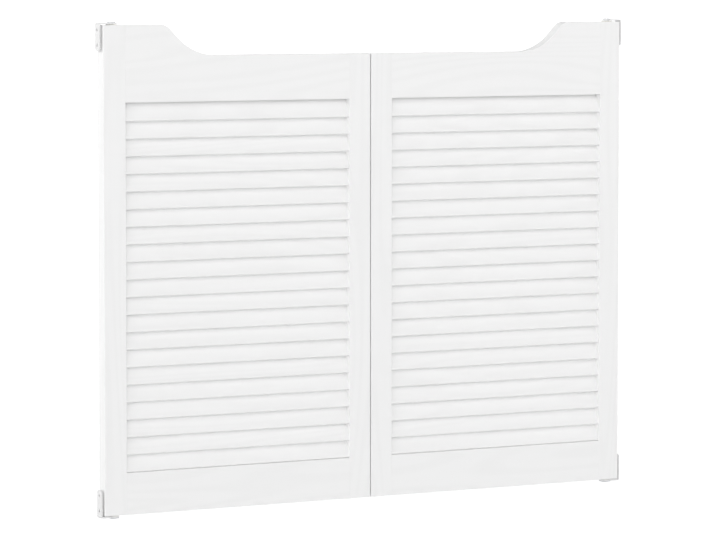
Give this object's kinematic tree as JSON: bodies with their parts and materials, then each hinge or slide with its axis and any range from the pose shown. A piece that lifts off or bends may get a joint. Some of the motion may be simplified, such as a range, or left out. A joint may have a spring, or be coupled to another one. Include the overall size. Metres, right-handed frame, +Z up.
{
  "type": "cafe swinging doors",
  "caption": "Pair of louvred half doors with a scooped top, on hidden spring pivots that swing both ways and return to the middle.",
  "frame": {"origin": "midway between the two leaves, in the middle of their thickness, at the level of the lowest metal", "axes": "+X to the right across the doorway, +Y away from the front, +Z up; the slats slope down towards the front, which faces -Y"},
  "size_m": [1.011, 0.022, 0.8105],
  "materials": {
    "white_pine": "pine with satin white paint, the grain faintly raised",
    "white_steel": "satin white powder coat",
    "zinc_steel": "bright zinc plate",
    "spring_steel": "blue tempered strip",
    "nylon": "natural nylon"
  },
  "bodies": {
    "jamb_hardware": {"top_brackets": "white_steel", "bottom_brackets": "white_steel", "top_pins": "zinc_steel", "bottom_spindles": "zinc_steel", "closing_springs": "spring_steel"},
    "left_leaf": {"left_hinge_stile": "white_pine", "left_meeting_stile": "white_pine", "left_top_rail": "white_pine", "left_bottom_rail": "white_pine", "left_slat_01": "white_pine", "left_slat_02": "white_pine", "left_slat_03": "white_pine", "left_slat_04": "white_pine", "left_slat_05": "white_pine", "left_slat_06": "white_pine", "left_slat_07": "white_pine", "left_slat_08": "white_pine", "left_slat_09": "white_pine", "left_slat_10": "white_pine", "left_slat_11": "white_pine", "left_slat_12": "white_pine", "left_slat_13": "white_pine", "left_slat_14": "white_pine", "left_slat_15": "white_pine", "left_slat_16": "white_pine", "left_slat_17": "white_pine", "left_slat_18": "white_pine", "left_slat_19": "white_pine", "left_slat_20": "white_pine", "left_slat_21": "white_pine", "left_pivot_bushes": "nylon", "left_spring_case": "zinc_steel"},
    "right_leaf": {"right_hinge_stile": "white_pine", "right_meeting_stile": "white_pine", "right_top_rail": "white_pine", "right_bottom_rail": "white_pine", "right_slat_01": "white_pine", "right_slat_02": "white_pine", "right_slat_03": "white_pine", "right_slat_04": "white_pine", "right_slat_05": "white_pine", "right_slat_06": "white_pine", "right_slat_07": "white_pine", "right_slat_08": "white_pine", "right_slat_09": "white_pine", "right_slat_10": "white_pine", "right_slat_11": "white_pine", "right_slat_12": "white_pine", "right_slat_13": "white_pine", "right_slat_14": "white_pine", "right_slat_15": "white_pine", "right_slat_16": "white_pine", "right_slat_17": "white_pine", "right_slat_18": "white_pine", "right_slat_19": "white_pine", "right_slat_20": "white_pine", "right_slat_21": "white_pine", "right_pivot_bushes": "nylon", "right_spring_case": "zinc_steel"}
  },
  "joints": [
    {"name": "left_leaf_swing", "type": "hinge", "parent": "jamb_hardware", "child": "left_leaf", "pos_m": [-0.48, 0, 0], "axis": [0, 0, 1], "range_deg": [-90, 90], "stiffness_Nm_per_rad": 0.67, "deforming": ["closing_springs"]},
    {"name": "right_leaf_swing", "type": "hinge", "parent": "jamb_hardware", "child": "right_leaf", "pos_m": [0.48, 0, 0], "axis": [0, 0, 1], "range_deg": [-90, 90], "stiffness_Nm_per_rad": 0.67, "deforming": ["closing_springs"]}
  ]
}
